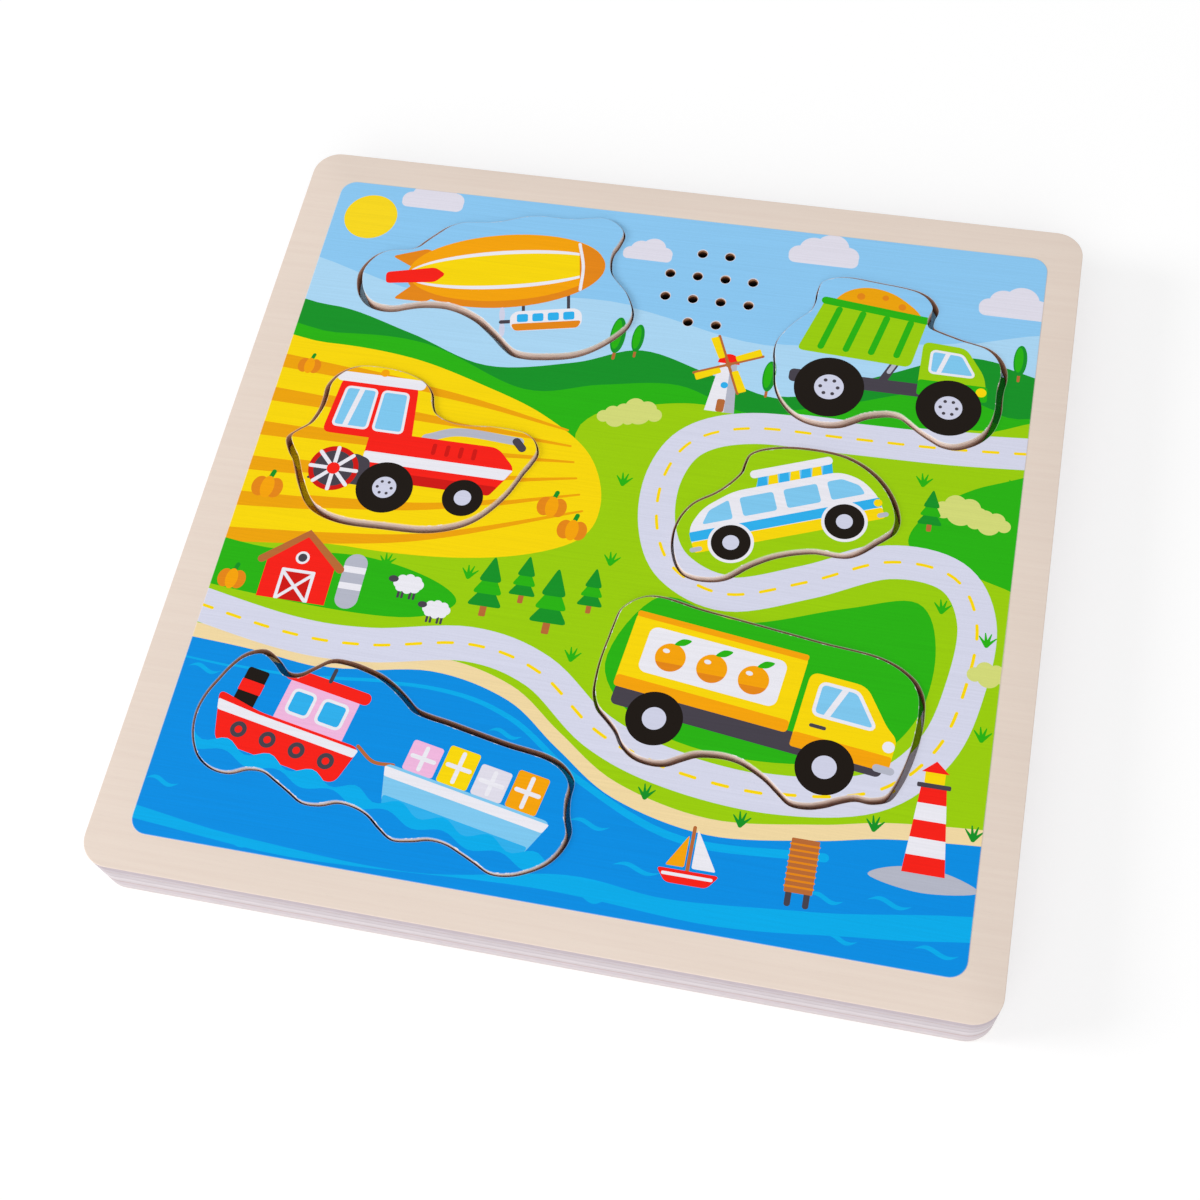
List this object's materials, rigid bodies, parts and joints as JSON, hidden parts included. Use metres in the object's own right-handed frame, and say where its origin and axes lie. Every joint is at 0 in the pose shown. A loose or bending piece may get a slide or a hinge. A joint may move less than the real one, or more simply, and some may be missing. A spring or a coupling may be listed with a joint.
{
  "type": "wooden sound puzzle",
  "caption": "Square wooden tray puzzle with lift-out picture pieces, drilled sound holes over a speaker, light sensors in the recesses and a screwed battery cover in the back.",
  "frame": {"origin": "middle of the board's underside, on the surface that it lies on", "axes": "+X along the lower edge of the picture, +Y up the picture, +Z out of the printed face"},
  "size_m": [0.3, 0.3, 0.0251],
  "materials": {
    "plywood": "pale plywood, sanded and clear-coated",
    "fibreboard": "fine fibreboard, painted like the plywood at its edge",
    "printed_paper": "coated paper with a bright printed picture, satin",
    "steel": "nickel-plated steel",
    "cone_paper": "black pressed paper",
    "ferrite": "dark sintered ferrite",
    "green_laminate": "green solder mask",
    "black_resin": "cured black resin",
    "sensor_plastic": "clear-coated sensor face in white plastic",
    "lead_cover": "soft vinyl insulation",
    "cell_label": "plain shrink sleeve on a dry cell",
    "black_plastic": "fine-textured moulded plastic"
  },
  "bodies": {
    "tray": {"face_board": "plywood", "face_print": "printed_paper", "floor_board": "plywood", "floor_print": "printed_paper", "core_board": "fibreboard", "back_board": "plywood", "speaker_basket": "steel", "speaker_cone": "cone_paper", "speaker_magnet": "ferrite", "speaker_lead": "lead_cover", "circuit_board": "green_laminate", "sound_chip": "black_resin", "airship_sensor": "sensor_plastic", "tipper_sensor": "sensor_plastic", "harvester_sensor": "sensor_plastic", "camper_sensor": "sensor_plastic", "lorry_sensor": "sensor_plastic", "tug_sensor": "sensor_plastic", "airship_sensor_lead": "lead_cover", "tipper_sensor_lead": "lead_cover", "harvester_sensor_lead": "lead_cover", "camper_sensor_lead": "lead_cover", "lorry_sensor_lead": "lead_cover", "tug_sensor_lead": "lead_cover", "battery_lead": "lead_cover", "battery_housing": "black_plastic", "battery_1": "cell_label", "battery_2": "cell_label", "contact_spring_1": "steel", "contact_spring_2": "steel", "contact_plate_1": "steel", "contact_plate_2": "steel"},
    "airship": {"airship_piece": "plywood", "airship_print": "printed_paper"},
    "tipper": {"tipper_piece": "plywood", "tipper_print": "printed_paper"},
    "harvester": {"harvester_piece": "plywood", "harvester_print": "printed_paper"},
    "camper": {"camper_piece": "plywood", "camper_print": "printed_paper"},
    "lorry": {"lorry_piece": "plywood", "lorry_print": "printed_paper"},
    "tug": {"tug_piece": "plywood", "tug_print": "printed_paper"},
    "cover": {"battery_cover": "black_plastic"},
    "screw": {"battery_screw": "steel"}
  },
  "joints": [
    {"name": "airship_lift", "type": "slide", "parent": "tray", "child": "airship", "axis": [0, 0, 1], "range_m": [0, 0.03]},
    {"name": "tipper_lift", "type": "slide", "parent": "tray", "child": "tipper", "axis": [0, 0, 1], "range_m": [0, 0.03]},
    {"name": "harvester_lift", "type": "slide", "parent": "tray", "child": "harvester", "axis": [0, 0, 1], "range_m": [0, 0.03]},
    {"name": "camper_lift", "type": "slide", "parent": "tray", "child": "camper", "axis": [0, 0, 1], "range_m": [0, 0.03]},
    {"name": "lorry_lift", "type": "slide", "parent": "tray", "child": "lorry", "axis": [0, 0, 1], "range_m": [0, 0.03]},
    {"name": "tug_lift", "type": "slide", "parent": "tray", "child": "tug", "axis": [0, 0, 1], "range_m": [0, 0.03]},
    {"name": "cover_tip", "type": "hinge", "parent": "tray", "child": "cover", "pos_m": [-0.03248, -0.05206, 0.0005], "axis": [0, 1, 0], "range_deg": [0, 75]},
    {"name": "screw_turn", "type": "hinge", "parent": "cover", "child": "screw", "pos_m": [0.02547, -0.05206, 0.0005], "axis": [0, 0, 1], "continuous": true}
  ]
}
